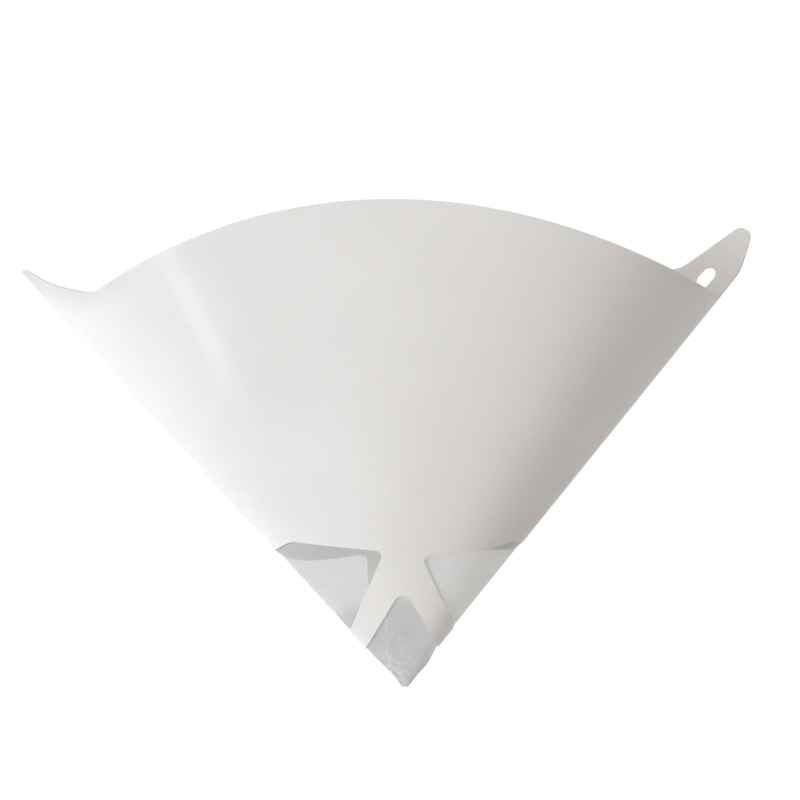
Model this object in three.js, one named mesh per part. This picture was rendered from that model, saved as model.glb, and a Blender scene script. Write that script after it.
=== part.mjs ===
// A paper cone strainer for paint: one die-cut sheet, folded at two side creases and opened into a
// pointed oval funnel, with a cone of fine nylon net glued inside its cut-out lower end.
//
// Lengths are millimetres and angles are degrees. The shapes are drawn on the flat sheet first. Each
// panel has its own flat frame: the cone's tip is the origin, y runs up the panel's centre line and x
// runs to the right. Every ruling of the cone is a straight line from the tip, so a flat point keeps
// its distance from the tip when the sheet is rolled up.

import * as THREE from 'three';

// The sheet is two equal panels, hinged at one side crease and meeting at the other.
const panelAngle = 90;
const slantLength = 140;
const paperThickness = 0.3;

// How far the cone stands open, and the form of its bulging panels
const depthAngle = 14.15;
const creaseSharpness = 0.65;
const bulgeFullness = 0.5;
const bulgeSkew = 0.47;

// The glued overlap of the sheet's two ends, down the middle of the back
const lapAngle = 6;
const lapRampAngle = 0.12;
const lapFadeAngle = 1;

// The side windows, each one hole that runs round a side crease
const windowCreaseTop = 53.2;
const windowCreaseLow = 22;
const windowInnerRadius = 1.8;
const windowShoulderRadius = 5.5;
const leftWindowTop = 41.4;
const rightWindowTop = 40.3;
const frontLegHalfWidth = 5.1;
const frontShoulderWidth = 31.8;
const frontShoulderHeight = 42.1;
const backWindowTop = 39;
const backLegHalfWidth = 8.2;
const backLegBend = 28.3;
const backShoulderHeight = 36.4;
const backShoulderMargin = 2.5;

// The pointed cut-outs below the legs, one in each panel
const archHeight = 28.2;
const archRadius = 2.6;
const archCreaseStart = 15.5;

// The ear at the left end of each panel, as it is seen from outside
const earStraightEdge = 8.6;
const earShoulderRadius = 9;
const earTipRadius = 3;
const frontEarReach = 18;
const frontEarTipInset = 1.05;
const frontEarTipWidth = 7;
const frontEarTipSlope = 1.4;
const frontEarBaseWidth = 17.4;
const frontEarFootRadius = 5.4;
const backEarReach = 21.2;
const backEarTipInset = 7.6;
const backEarTipWidth = 4.5;
const backEarTipSlope = 0.4;
const backEarBaseWidth = 18.9;
const backEarFootRadius = 8;

// The front ear is bent outward about its crease.
const earBendLength = 8.4;
const frontEarSwing = 16.7;

// The hanging hole in the back ear, from the rim's corner at the crease
const earHoleRise = 3.3;
const earHoleInset = 9.8;
const earHoleWidth = 4.8;
const earHoleLength = 6.6;

// The net
const netSlant = 58;
const netClearance = 0.6;
const netWall = 0.8;

// Fineness of the facets
const rulingStep = 2.25;
const creaseRulingStep = 0.75;
const creaseZone = 8;
const cornerStep = 0.35;
const arcStep = 14;
const earLevelStep = 2;

const degrees = Math.PI / 180;
const halfPanel = panelAngle / 2;

function findRoot(evaluate, low, high) {
  let a = low;
  let b = high;
  for (let i = 0; i < 50; i++) {
    const middle = (a + b) / 2;
    if (evaluate(middle) < 0) a = middle;
    else b = middle;
  }
  return (a + b) / 2;
}

// Unit directions of the rulings across the front panel, from its left crease to its right one. The
// lengths between them on the unit sphere are the flat sheet's angles.
function samplePanel(sideAngle) {
  const steps = 720;
  const directions = [];
  const angles = [0];
  for (let i = 0; i <= steps; i++) {
    const x = Math.sin((i / steps - 0.5) * Math.PI);
    const rise = Math.max(0, 1 - x * x) ** creaseSharpness;
    const bulge = rise * (1 + bulgeSkew * x + bulgeFullness * x * x);
    const y = -Math.tan(depthAngle * degrees) * bulge;
    const direction = new THREE.Vector3(Math.tan(sideAngle * degrees) * x, y, 1).normalize();
    if (i > 0) {
      const chord = direction.distanceTo(directions[i - 1]);
      angles.push(angles[i - 1] + (2 * Math.asin(chord / 2)) / degrees);
    }
    directions.push(direction);
  }
  return { directions, angles, total: angles[steps] };
}

// The deeper a panel bulges, the closer its two creases stand.
const sideAngle = findRoot((angle) => samplePanel(angle).total - panelAngle, 5, 80);
const panel = samplePanel(sideAngle);

// Ruling direction at a turn round the sheet. The turn starts at the left crease, crosses the front
// panel to the right crease and comes back across the back panel, which is the front one turned
// half round.
function turnDirection(turn) {
  const onFront = turn <= panelAngle;
  const target = ((onFront ? turn : turn - panelAngle) / panelAngle) * panel.total;
  let low = 0;
  let high = panel.angles.length - 1;
  while (high - low > 1) {
    const middle = Math.floor((low + high) / 2);
    if (panel.angles[middle] <= target) low = middle;
    else high = middle;
  }
  const share = (target - panel.angles[low]) / (panel.angles[high] - panel.angles[low]);
  const direction = panel.directions[low].clone().lerp(panel.directions[high], share).normalize();
  if (!onFront) direction.set(-direction.x, -direction.y, direction.z);
  return direction;
}

// Flat drawing

// The left crease runs up and to the left from the tip.
const creaseAlong = new THREE.Vector2(-Math.sin(halfPanel * degrees), Math.cos(halfPanel * degrees));
const creaseAcross = new THREE.Vector2(creaseAlong.y, -creaseAlong.x);

function atCrease(distance) {
  return creaseAlong.clone().multiplyScalar(distance);
}

// A point beside the left crease: along it from the rim's corner, and across it into the panel
function besideCrease(along, across) {
  return atCrease(slantLength + along).addScaledVector(creaseAcross, across);
}

function roundedCorner(before, corner, after, radius) {
  const inward = before.clone().sub(corner);
  const outward = after.clone().sub(corner);
  const reach = Math.min(inward.length(), outward.length()) * 0.48;
  inward.normalize();
  outward.normalize();
  const half = Math.acos(THREE.MathUtils.clamp(inward.dot(outward), -1, 1)) / 2;
  const setback = Math.min(radius / Math.tan(half), reach);
  const trueRadius = setback * Math.tan(half);
  const middle = inward.clone().add(outward).normalize();
  const centre = corner.clone().addScaledVector(middle, trueRadius / Math.sin(half));
  const start = corner.clone().addScaledVector(inward, setback).sub(centre);
  const sweep = Math.PI - 2 * half;
  const sign = Math.sign(inward.x * outward.y - inward.y * outward.x);
  const count = Math.max(2, Math.ceil(sweep / degrees / arcStep));
  const points = [];
  for (let i = 0; i <= count; i++) {
    const turned = start.clone().rotateAround(new THREE.Vector2(), (-sign * sweep * i) / count);
    points.push(turned.add(centre));
  }
  return points;
}

// An open line of points with its inner corners rounded; a radius of 0 keeps a corner sharp.
function roundedLine(points, radii) {
  const line = [points[0]];
  for (let i = 1; i < points.length - 1; i++) {
    if (radii[i] > 0) line.push(...roundedCorner(points[i - 1], points[i], points[i + 1], radii[i]));
    else line.push(points[i]);
  }
  line.push(points[points.length - 1]);
  return line;
}

function flatAngle(point) {
  return Math.atan2(point.x, point.y) / degrees;
}

// Distances from the tip at which the ruling at this angle crosses a line of points
function crossings(points, angle) {
  const direction = new THREE.Vector2(Math.sin(angle * degrees), Math.cos(angle * degrees));
  const found = [];
  for (let i = 1; i < points.length; i++) {
    const p = points[i - 1];
    const q = points[i];
    const sideP = p.x * direction.y - p.y * direction.x;
    const sideQ = q.x * direction.y - q.y * direction.x;
    const near = 1e-7;
    if (Math.abs(sideP) < near) found.push(p.length());
    if (Math.abs(sideQ) < near) found.push(q.length());
    if (sideP * sideQ < 0 && Math.abs(sideP) >= near && Math.abs(sideQ) >= near) {
      const share = sideP / (sideP - sideQ);
      found.push(p.clone().lerp(q, share).dot(direction));
    }
  }
  return found;
}

function angleRange(points) {
  const angles = points.map(flatAngle);
  return { low: Math.min(...angles), high: Math.max(...angles) };
}

function mirrored(points) {
  return points.map((point) => new THREE.Vector2(-point.x, point.y)).reverse();
}

// The left half of each window, from the crease round to the crease
function makeFrontWindow(top) {
  return roundedLine(
    [
      atCrease(windowCreaseLow),
      new THREE.Vector2(-frontLegHalfWidth, top),
      new THREE.Vector2(-frontShoulderWidth, frontShoulderHeight),
      atCrease(windowCreaseTop),
    ],
    [0, windowInnerRadius, windowShoulderRadius, 0],
  );
}

// The back window's shoulder stands in from the crease by a margin, measured level.
const backShoulderWidth = backShoulderHeight * Math.tan(halfPanel * degrees) - backShoulderMargin;
const backWindow = roundedLine(
  [
    atCrease(windowCreaseLow),
    new THREE.Vector2(-backLegHalfWidth, backLegBend),
    new THREE.Vector2(-backLegHalfWidth, backWindowTop),
    new THREE.Vector2(-backShoulderWidth, backShoulderHeight),
    atCrease(windowCreaseTop),
  ],
  [0, 0, windowInnerRadius, windowShoulderRadius, 0],
);

// The lower edge of a panel. Its two straight sides would meet above the rounded top.
const archCorner = atCrease(archCreaseStart);
const archPeak = findRoot(
  (height) => {
    const half = Math.atan2(-archCorner.x, height - archCorner.y);
    return height - archRadius / Math.sin(half) + archRadius - archHeight;
  },
  archHeight - archRadius,
  archHeight * 2,
);
const lowerEdge = roundedLine(
  [archCorner, new THREE.Vector2(0, archPeak), new THREE.Vector2(-archCorner.x, archCorner.y)],
  [0, archRadius, 0],
);

// A point on the rim at a distance from the crease, measured straight across
function onRim(across) {
  return besideCrease(Math.sqrt(slantLength ** 2 - across ** 2) - slantLength, across);
}

// An ear, from the crease round to the rim
function makeEar(tip, baseWidth, footRadius) {
  return roundedLine(
    [
      besideCrease(0, 0),
      besideCrease(earStraightEdge, 0),
      besideCrease(tip.reach, tip.inset),
      besideCrease(tip.reach - tip.slope, tip.inset + tip.width),
      onRim(baseWidth),
      onRim(baseWidth + footRadius * 2),
    ],
    [0, earShoulderRadius, earTipRadius, earTipRadius, footRadius, 0],
  );
}

const frontEarTip = {
  reach: frontEarReach,
  inset: frontEarTipInset,
  width: frontEarTipWidth,
  slope: frontEarTipSlope,
};
const backEarTip = {
  reach: backEarReach,
  inset: backEarTipInset,
  width: backEarTipWidth,
  slope: backEarTipSlope,
};
const frontEar = makeEar(frontEarTip, frontEarBaseWidth, frontEarFootRadius);
const backEar = makeEar(backEarTip, backEarBaseWidth, backEarFootRadius);

const earHole = [];
const holeStraight = (earHoleLength - earHoleWidth) / 2;
for (let i = 0; i <= 24; i++) {
  const angle = (i / 24) * 2 * Math.PI;
  const along = Math.cos(angle) * (earHoleWidth / 2) + Math.sign(Math.cos(angle)) * holeStraight;
  const across = Math.sin(angle) * (earHoleWidth / 2);
  earHole.push(besideCrease(earHoleRise + along, earHoleInset + across));
}

// Turn of a panel's flat angle, and back
function toTurn(angle, onBack) {
  return angle + halfPanel + (onBack ? panelAngle : 0);
}

function toAngle(turn, onBack) {
  return turn - halfPanel - (onBack ? panelAngle : 0);
}

// Every hole of the sheet, with the turns between which it lies
function makeHole(points, onBack) {
  const range = angleRange(points);
  return { points, onBack, start: toTurn(range.low, onBack), end: toTurn(range.high, onBack) };
}

const holes = [
  makeHole(makeFrontWindow(leftWindowTop), false),
  makeHole(mirrored(makeFrontWindow(rightWindowTop)), false),
  makeHole(backWindow, true),
  makeHole(mirrored(backWindow), true),
  makeHole(earHole, true),
];

function holeSpan(hole, turn) {
  const inside = THREE.MathUtils.clamp(turn, hole.start, hole.end);
  const found = crossings(hole.points, toAngle(inside, hole.onBack));
  return [Math.min(...found), Math.max(...found)];
}

function lowerLevel(angle) {
  return Math.max(...crossings(lowerEdge, angle));
}

// The upper edge is the rim's arc, with the ear at the start of the panel.
function upperLevel(angle, onBack) {
  const ear = onBack ? backEar : frontEar;
  if (angle > angleRange(ear).high - 1e-9) return slantLength;
  return Math.max(slantLength, ...crossings(ear, angle));
}

// The rulings: at the ends and corners of every outline, and evenly between them
function thinned(points) {
  const range = angleRange(points);
  const angles = points.map(flatAngle).sort((a, b) => a - b);
  const kept = [range.low];
  for (const angle of angles) {
    const clear = angle - kept[kept.length - 1] > cornerStep && range.high - angle > cornerStep;
    if (clear) kept.push(angle);
  }
  kept.push(range.high);
  return kept;
}

const fullTurn = 2 * panelAngle;

function makeTurns() {
  const firm = [0, panelAngle];
  for (const hole of holes) {
    firm.push(...thinned(hole.points).map((angle) => toTurn(angle, hole.onBack)));
  }
  for (const angle of thinned(lowerEdge)) firm.push(toTurn(angle, false), toTurn(angle, true));
  firm.push(...thinned(frontEar).map((angle) => toTurn(angle, false)));
  firm.push(...thinned(backEar).map((angle) => toTurn(angle, true)));
  const lapHalf = lapAngle / 2;
  for (const angle of [-lapHalf - lapRampAngle, -lapHalf, lapHalf, lapHalf + lapFadeAngle]) {
    firm.push(toTurn(angle, true));
  }
  firm.sort((a, b) => a - b);
  const turns = [];
  for (const turn of firm) {
    const duplicate = turns.length > 0 && turn - turns[turns.length - 1] < 1e-6;
    if (!duplicate && turn < fullTurn - 1e-6) turns.push(turn);
  }
  const even = [];
  let turn = 0;
  while (turn < fullTurn) {
    const fromCrease = Math.min(turn % panelAngle, panelAngle - (turn % panelAngle));
    const step = fromCrease < creaseZone ? creaseRulingStep : rulingStep;
    const placed = turn;
    const free = turns.every((other) => Math.abs(other - placed) > step * 0.35);
    if (free && fullTurn - turn > step * 0.35) even.push(turn);
    turn += step;
  }
  return [...turns, ...even].sort((a, b) => a - b);
}

const turns = makeTurns();
const rulingCount = turns.length;

function turnAt(index) {
  return index < rulingCount ? turns[index] : fullTurn;
}

const rulingDirections = turns.map(turnDirection);

// Outward normals of the flat strips, and the mitred offset direction at each ruling
const stripNormals = rulingDirections.map((direction, index) => {
  const next = rulingDirections[(index + 1) % rulingCount];
  return next.clone().cross(direction).normalize();
});

function mitre(index) {
  const before = stripNormals[(index + rulingCount - 1) % rulingCount];
  const after = stripNormals[index];
  return before.clone().add(after).divideScalar(1 + before.dot(after));
}

const mitres = turns.map((turn, index) => mitre(index));

// The sheet is double across the overlap. The outer end's cut edge is steep, and on the other side
// the outer layer comes down gently to the inner one.
function sheetThickness(turn) {
  if (turn < panelAngle) return paperThickness;
  const angle = toAngle(turn, true);
  const rise = THREE.MathUtils.clamp(1 + (angle + lapAngle / 2) / lapRampAngle, 0, 1);
  const fall = THREE.MathUtils.clamp(1 - (angle - lapAngle / 2) / lapFadeAngle, 0, 1);
  return paperThickness * (1 + Math.min(rise, fall));
}

// Point of the rolled sheet. Beyond the rim, the front ear swings gradually outward.
const leftCrease = turnDirection(0);
const frontEarEnd = toTurn(angleRange(frontEar).high, false);

function sheetPoint(index, level, offset) {
  const point = rulingDirections[index].clone().multiplyScalar(level);
  point.addScaledVector(mitres[index], offset);
  const onFrontEar = turns[index] <= frontEarEnd && level > slantLength;
  if (!onFrontEar) return point;
  const share = THREE.MathUtils.smoothstep(level, slantLength, slantLength + earBendLength);
  return point.applyAxisAngle(leftCrease, -frontEarSwing * share * degrees);
}

// One strip of sheet lies between two neighbouring rulings. Its cells are the stretches of paper
// between the lower edge, the holes and the upper edge.
function stripCells(index) {
  const from = turnAt(index);
  const to = turnAt(index + 1);
  const middle = (from + to) / 2;
  const onBack = middle > panelAngle;
  const angles = [toAngle(from, onBack), toAngle(to, onBack)];
  const spans = holes
    .filter((hole) => hole.start < middle && middle < hole.end)
    .map((hole) => ({ from: holeSpan(hole, from), to: holeSpan(hole, to) }))
    .sort((a, b) => a.from[0] + a.to[0] - b.from[0] - b.to[0]);
  const cells = [];
  let low = { from: lowerLevel(angles[0]), to: lowerLevel(angles[1]) };
  for (const span of spans) {
    cells.push({ low, high: { from: span.from[0], to: span.to[0] } });
    low = { from: span.from[1], to: span.to[1] };
  }
  const high = { from: upperLevel(angles[0], onBack), to: upperLevel(angles[1], onBack) };
  cells.push({ low, high });
  return cells;
}

const cellsOfStrip = turns.map((turn, index) => stripCells(index));

// All levels at which a ruling carries a vertex, shared by the strips on both of its sides
function rulingLevels(index) {
  const before = cellsOfStrip[(index + rulingCount - 1) % rulingCount];
  const after = cellsOfStrip[index];
  const levels = [];
  for (const cell of before) levels.push(cell.low.to, cell.high.to);
  for (const cell of after) levels.push(cell.low.from, cell.high.from);
  const top = Math.max(...levels);
  for (let level = slantLength; level < top - earLevelStep / 2; level += earLevelStep) {
    levels.push(level);
  }
  levels.sort((a, b) => a - b);
  return levels.filter((level, i) => i === 0 || level - levels[i - 1] > 1e-6);
}

const levelsOfRuling = turns.map((turn, index) => rulingLevels(index));

function levelIndex(index, level) {
  const levels = levelsOfRuling[index];
  let best = 0;
  for (let i = 1; i < levels.length; i++) {
    if (Math.abs(levels[i] - level) < Math.abs(levels[best] - level)) best = i;
  }
  return best;
}

class MeshBuilder {
  constructor() {
    this.positions = [];
    this.indices = [];
    this.known = new Map();
  }

  vertex(key, makePoint) {
    if (!this.known.has(key)) {
      this.known.set(key, this.positions.length / 3);
      this.positions.push(...makePoint().toArray());
    }
    return this.known.get(key);
  }

  triangle(a, b, c) {
    if (a !== b && b !== c && c !== a) this.indices.push(a, b, c);
  }

  quad(a, b, c, d) {
    this.triangle(a, b, c);
    this.triangle(a, c, d);
  }

  geometry() {
    const geometry = new THREE.BufferGeometry();
    geometry.setAttribute('position', new THREE.Float32BufferAttribute(this.positions, 3));
    geometry.setIndex(this.indices);
    geometry.computeVertexNormals();
    return geometry;
  }
}

function buildSheet() {
  const builder = new MeshBuilder();
  const corner = (index, step, outer) => {
    const ruling = index % rulingCount;
    return builder.vertex(`${ruling}:${step}:${outer}`, () => {
      const offset = outer ? sheetThickness(turns[ruling]) : 0;
      return sheetPoint(ruling, levelsOfRuling[ruling][step], offset);
    });
  };
  const paper = turns.map(() => ({ before: new Set(), after: new Set() }));

  for (let index = 0; index < rulingCount; index++) {
    const next = (index + 1) % rulingCount;
    for (const cell of cellsOfStrip[index]) {
      const fromLow = levelIndex(index, cell.low.from);
      const fromHigh = levelIndex(index, cell.high.from);
      const toLow = levelIndex(next, cell.low.to);
      const toHigh = levelIndex(next, cell.high.to);
      for (let step = fromLow; step < fromHigh; step++) paper[index].after.add(step);
      for (let step = toLow; step < toHigh; step++) paper[next].before.add(step);

      // both faces of the cell, laced from its lower end to its upper end
      let a = fromLow;
      let b = toLow;
      while (a < fromHigh || b < toHigh) {
        const stepA = a < fromHigh ? levelsOfRuling[index][a + 1] : Infinity;
        const stepB = b < toHigh ? levelsOfRuling[next][b + 1] : Infinity;
        const useA = stepA <= stepB;
        for (const outer of [true, false]) {
          const p = corner(index, a, outer);
          const q = corner(next, b, outer);
          const r = useA ? corner(index, a + 1, outer) : corner(next, b + 1, outer);
          if (outer) builder.triangle(p, q, r);
          else builder.triangle(p, r, q);
        }
        if (useA) a++;
        else b++;
      }

      // the cut edges at its lower and upper end
      builder.quad(
        corner(index, fromLow, false),
        corner(next, toLow, false),
        corner(next, toLow, true),
        corner(index, fromLow, true),
      );
      builder.quad(
        corner(index, fromHigh, true),
        corner(next, toHigh, true),
        corner(next, toHigh, false),
        corner(index, fromHigh, false),
      );
    }
  }

  // cut edges that run along a ruling
  for (let index = 0; index < rulingCount; index++) {
    for (let step = 0; step < levelsOfRuling[index].length - 1; step++) {
      const before = paper[index].before.has(step);
      const after = paper[index].after.has(step);
      if (before === after) continue;
      const lowInner = corner(index, step, false);
      const lowOuter = corner(index, step, true);
      const highInner = corner(index, step + 1, false);
      const highOuter = corner(index, step + 1, true);
      if (before) builder.quad(lowOuter, lowInner, highInner, highOuter);
      else builder.quad(lowInner, lowOuter, highOuter, highInner);
    }
  }
  return builder.geometry();
}

// The net is the same cone, raised a little along the axis so that it lies just inside the paper.
function buildNet() {
  const builder = new MeshBuilder();
  const tipHeight = { outer: netClearance, inner: netClearance + netWall };
  const tip = (face) => builder.vertex(face, () => new THREE.Vector3(0, 0, tipHeight[face]));
  const rim = (index, face) => {
    const ruling = index % rulingCount;
    return builder.vertex(`${ruling}:${face}`, () => {
      const direction = rulingDirections[ruling];
      const drop = (tipHeight[face] - netClearance) * direction.z;
      const raise = new THREE.Vector3(0, 0, tipHeight[face]);
      return direction.clone().multiplyScalar(netSlant - drop).add(raise);
    });
  };
  for (let index = 0; index < rulingCount; index++) {
    builder.triangle(tip('outer'), rim(index + 1, 'outer'), rim(index, 'outer'));
    builder.triangle(tip('inner'), rim(index, 'inner'), rim(index + 1, 'inner'));
    builder.quad(
      rim(index, 'outer'),
      rim(index + 1, 'outer'),
      rim(index + 1, 'inner'),
      rim(index, 'inner'),
    );
  }
  return builder.geometry();
}

const paperCone = new THREE.Mesh(
  buildSheet(),
  new THREE.MeshStandardMaterial({ color: '#e9e8e5', roughness: 0.5, metalness: 0 }),
);
paperCone.name = 'paper_cone';

const filterMesh = new THREE.Mesh(
  buildNet(),
  new THREE.MeshStandardMaterial({ color: '#cfd3d1', roughness: 0.65, metalness: 0 }),
);
filterMesh.name = 'filter_mesh';

// The cone hangs by its two ears. Its origin lies on its axis, level with the back ear's hole.
const holeCentre = besideCrease(earHoleRise, earHoleInset);
const holeDirection = turnDirection(toTurn(flatAngle(holeCentre), true));
const hangHeight = holeDirection.z * holeCentre.length();

const strainer = new THREE.Group();
strainer.add(paperCone, filterMesh);
strainer.position.set(0, 0, -hangHeight);

export default strainer;
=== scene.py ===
import math
from collections import namedtuple

import bpy
import numpy as np
from mathutils import Matrix, Vector


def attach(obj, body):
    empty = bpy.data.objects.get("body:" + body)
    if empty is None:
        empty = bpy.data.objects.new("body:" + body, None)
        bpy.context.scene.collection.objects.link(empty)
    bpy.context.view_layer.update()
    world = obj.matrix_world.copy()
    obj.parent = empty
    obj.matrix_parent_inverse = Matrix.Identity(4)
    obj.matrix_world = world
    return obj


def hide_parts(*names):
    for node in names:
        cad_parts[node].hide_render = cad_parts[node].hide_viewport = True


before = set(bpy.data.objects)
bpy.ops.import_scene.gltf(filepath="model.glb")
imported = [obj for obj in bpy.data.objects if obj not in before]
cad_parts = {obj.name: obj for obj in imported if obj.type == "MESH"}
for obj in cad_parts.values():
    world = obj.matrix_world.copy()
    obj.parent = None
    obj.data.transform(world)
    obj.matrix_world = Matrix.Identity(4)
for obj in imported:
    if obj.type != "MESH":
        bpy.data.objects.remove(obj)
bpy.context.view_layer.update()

# The folded sheet

# Lengths are millimetres and angles are degrees, with the CAD's sizes. Each panel has its own flat
# frame: the tip is the origin and y runs up the panel's centre line. Every ruling is a straight line
# from the tip, so a flat point keeps its distance from the tip when the sheet is rolled up. A turn
# counts the flat angle round the sheet: 0 at the left crease, over the front to the right crease at
# 90, and over the back to the left crease again.
PANEL = 90.0
HALF_PANEL = PANEL / 2
WHOLE_SHEET = 2 * PANEL
SLANT = 140.0
PAPER = 0.3

# How far the cone stands open, and the form of its bulging panels
DEPTH_ANGLE = 14.15
CREASE_SHARPNESS = 0.65
FULLNESS = 0.5
SKEW = 0.47

# The glued overlap down the middle of the back
LAP_ANGLE = 6.0
LAP_RAMP = 0.12
LAP_FADE = 1.0

# The windows, each one hole that runs round a crease
WINDOW_CREASE_TOP = 53.2
WINDOW_CREASE_LOW = 22.0
WINDOW_INNER_RADIUS = 1.8
WINDOW_SHOULDER_RADIUS = 5.5
LEFT_WINDOW_TOP = 41.4
RIGHT_WINDOW_TOP = 40.3
FRONT_LEG_HALF_WIDTH = 5.1
FRONT_SHOULDER_WIDTH = 31.8
FRONT_SHOULDER_HEIGHT = 42.1
BACK_WINDOW_TOP = 39.0
BACK_LEG_HALF_WIDTH = 8.2
BACK_LEG_BEND = 28.3
BACK_SHOULDER_WIDTH = 33.9
BACK_SHOULDER_HEIGHT = 36.4

# The pointed cut-out below the legs of each panel
ARCH_CREASE_START = 15.5
ARCH_HEIGHT = 28.2
ARCH_RADIUS = 2.6

# The ears, the front ear's outward bend and the back ear's hole
EAR_STRAIGHT = 8.6
EAR_SHOULDER_RADIUS = 9.0
EAR_TIP_RADIUS = 3.0
EAR_SWING = 16.7
EAR_BEND_BELOW = 4.0
EAR_BEND_ABOVE = 13.0
EAR_BEND_NEAR = 14.0
EAR_BEND_FAR = 34.0
HOLE_RISE = 3.3
HOLE_INSET = 9.8
HOLE_WIDTH = 4.8
HOLE_LENGTH = 6.6

# Fineness of the mesh
PANEL_SAMPLES = 1441
ARC_STEP = 7.0
HOLE_STEPS = 36
CORNER_STEP = 0.12
RULING_STEP = 0.6
BESIDE_CREASE_STEP = 0.3
BESIDE_CREASE_ZONE = 6.0
CREASE_STEP = 0.15
CREASE_ZONE = 1.2
LEVEL_STEP = 3.0
EAR_LEVEL_STEP = 1.0
EAR_LEVEL_RANGE = 30.0
LEVEL_MARGIN = 0.3
LAST_STEP_GAP = 1.5
RULING_ROOM = 0.35
SETBACK_SHARE = 0.48
SAME = 1e-6


def unit(v):
    v = np.asarray(v, float)
    return v / np.linalg.norm(v, axis=-1, keepdims=True)


def smooth(x, low, high):
    t = np.clip((x - low) / (high - low), 0, 1)
    return t * t * (3 - 2 * t)


def fade(x, low, high):
    return 1 - smooth(x, low, high)


def find_root(evaluate, low, high):
    for _ in range(50):
        middle = (low + high) / 2
        if evaluate(middle) < 0:
            low = middle
        else:
            high = middle
    return (low + high) / 2


def sample_panel(side_angle):
    """Ruling directions across the front panel, with their flat angles from its left crease."""
    x = np.sin((np.linspace(0, 1, PANEL_SAMPLES) - 0.5) * math.pi)
    rise = np.maximum(0, 1 - x * x) ** CREASE_SHARPNESS
    y = -math.tan(math.radians(DEPTH_ANGLE)) * rise * (1 + SKEW * x + FULLNESS * x * x)
    directions = unit(np.stack([math.tan(math.radians(side_angle)) * x, y, np.ones_like(x)], 1))
    chords = np.linalg.norm(np.diff(directions, axis=0), axis=1)
    angles = np.concatenate([[0], np.cumsum(2 * np.degrees(np.arcsin(chords / 2)))])
    return directions, angles


# The deeper a panel bulges, the closer its two creases stand.
SIDE_ANGLE = find_root(lambda angle: sample_panel(angle)[1][-1] - PANEL, 5.0, 80.0)
PANEL_DIRECTIONS, PANEL_ANGLES = sample_panel(SIDE_ANGLE)
PANEL_ANGLES = PANEL_ANGLES * PANEL / PANEL_ANGLES[-1]


def turn_direction(turn):
    """The ruling's direction at a turn. The back panel is the front one turned half round."""
    turn = np.asarray(turn, float)
    on_front = turn <= PANEL
    target = np.where(on_front, turn, turn - PANEL)
    d = unit(np.stack([np.interp(target, PANEL_ANGLES, PANEL_DIRECTIONS[:, k]) for k in range(3)], -1))
    sign = np.where(on_front, 1.0, -1.0)
    d[..., 0] *= sign
    d[..., 1] *= sign
    return d


def from_crease(turn):
    """The flat angle between a turn and the nearest crease."""
    return min(turn % PANEL, PANEL - turn % PANEL)


def to_turn(angle, back):
    """The turn of a flat angle on the front or the back panel."""
    return angle + HALF_PANEL + (PANEL if back else 0)


# The flat drawing of a panel

# The left crease runs up and to the left from the tip.
ALONG = np.array([-math.sin(math.radians(HALF_PANEL)), math.cos(math.radians(HALF_PANEL))])
ACROSS = np.array([ALONG[1], -ALONG[0]])


def at_crease(distance):
    return ALONG * distance


def beside_crease(along, across):
    """A point along the left crease from the rim's corner, and across it into the panel."""
    return ALONG * (SLANT + along) + ACROSS * across


def on_rim(across):
    return beside_crease(math.sqrt(SLANT**2 - across**2) - SLANT, across)


def mirrored(points):
    return (points * [-1, 1])[::-1]


def rounded_corner(before, corner, after, radius):
    inward, outward = before - corner, after - corner
    longest_setback = min(np.linalg.norm(inward), np.linalg.norm(outward)) * SETBACK_SHARE
    inward, outward = unit(inward), unit(outward)
    half = math.acos(np.clip(inward @ outward, -1, 1)) / 2
    setback = min(radius / math.tan(half), longest_setback)
    true_radius = setback * math.tan(half)
    centre = corner + unit(inward + outward) * true_radius / math.sin(half)
    start = corner + inward * setback - centre
    sweep = math.pi - 2 * half
    sign = np.sign(inward[0] * outward[1] - inward[1] * outward[0])
    count = max(3, math.ceil(math.degrees(sweep) / ARC_STEP))
    points = []
    for i in range(count + 1):
        a = -sign * sweep * i / count
        c, s = math.cos(a), math.sin(a)
        points.append(centre + np.array([c * start[0] - s * start[1], s * start[0] + c * start[1]]))
    return points


def rounded_line(points, radii):
    """An open line of points with its inner corners rounded. A radius of 0 keeps a corner sharp."""
    points = [np.array(p, float) for p in points]
    line = [points[0]]
    for i in range(1, len(points) - 1):
        if radii[i] > 0:
            line += rounded_corner(points[i - 1], points[i], points[i + 1], radii[i])
        else:
            line.append(points[i])
    line.append(points[-1])
    return np.array(line)


def flat_angle(points):
    points = np.atleast_2d(points)
    return np.degrees(np.arctan2(points[:, 0], points[:, 1]))


def crossings(points, angle):
    """Distances from the tip at which the ruling at this angle crosses a line of points."""
    d = np.array([math.sin(math.radians(angle)), math.cos(math.radians(angle))])
    side = points[:, 0] * d[1] - points[:, 1] * d[0]
    near = np.abs(side) < 1e-7
    found = list(np.linalg.norm(points[near], axis=1))
    p, q = points[:-1], points[1:]
    hit = (side[:-1] * side[1:] < 0) & ~near[:-1] & ~near[1:]
    share = side[:-1][hit] / (side[:-1][hit] - side[1:][hit])
    found += list((p[hit] + (q[hit] - p[hit]) * share[:, None]) @ d)
    return found


def make_front_window(top):
    """The left half of a front window, from the crease round to the crease."""
    return rounded_line(
        [
            at_crease(WINDOW_CREASE_LOW),
            (-FRONT_LEG_HALF_WIDTH, top),
            (-FRONT_SHOULDER_WIDTH, FRONT_SHOULDER_HEIGHT),
            at_crease(WINDOW_CREASE_TOP),
        ],
        [0, WINDOW_INNER_RADIUS, WINDOW_SHOULDER_RADIUS, 0],
    )


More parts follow.
